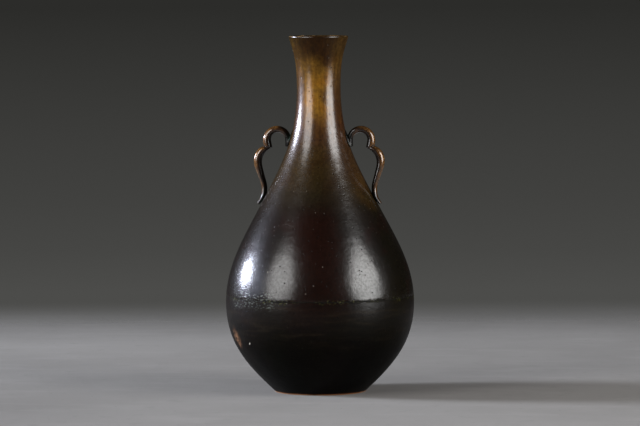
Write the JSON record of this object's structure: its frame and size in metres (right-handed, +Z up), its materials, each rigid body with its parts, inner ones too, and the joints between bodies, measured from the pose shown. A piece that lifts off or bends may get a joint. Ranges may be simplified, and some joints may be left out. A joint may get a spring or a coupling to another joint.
{
  "type": "bronze hu vessel",
  "caption": "Pear-shaped cast bronze vase with a slender neck, a flared mouth, a flat closed foot and small scrolled bracket handles at the neck.",
  "frame": {"origin": "centre of the foot, on the plane that the vessel stands on", "axes": "+Z up along the vessel's axis; +X towards the right-hand handle"},
  "size_m": [0.159, 0.159, 0.3],
  "materials": {
    "body_bronze": "dark brown to black patina, amber on the neck, waxed to a soft gloss",
    "handle_bronze": "copper-brown patina rubbed bright on the outer edges",
    "base_copper": "red copper, dull, worn bright at the edge it stands on",
    "seam_solder": "filed flush, dark, with green and yellow specks",
    "inner_solder": "dull grey bead",
    "washer_bronze": "as hammered, dull brown"
  },
  "bodies": {
    "root": {"upper_shell": "body_bronze", "lower_shell": "body_bronze", "seam_solder": "seam_solder", "base_plate": "base_copper", "base_solder": "inner_solder", "right_handle": "handle_bronze", "left_handle": "handle_bronze", "right_upper_washer": "washer_bronze", "left_upper_washer": "washer_bronze", "right_lower_washer": "washer_bronze", "left_lower_washer": "washer_bronze"}
  },
  "joints": []
}
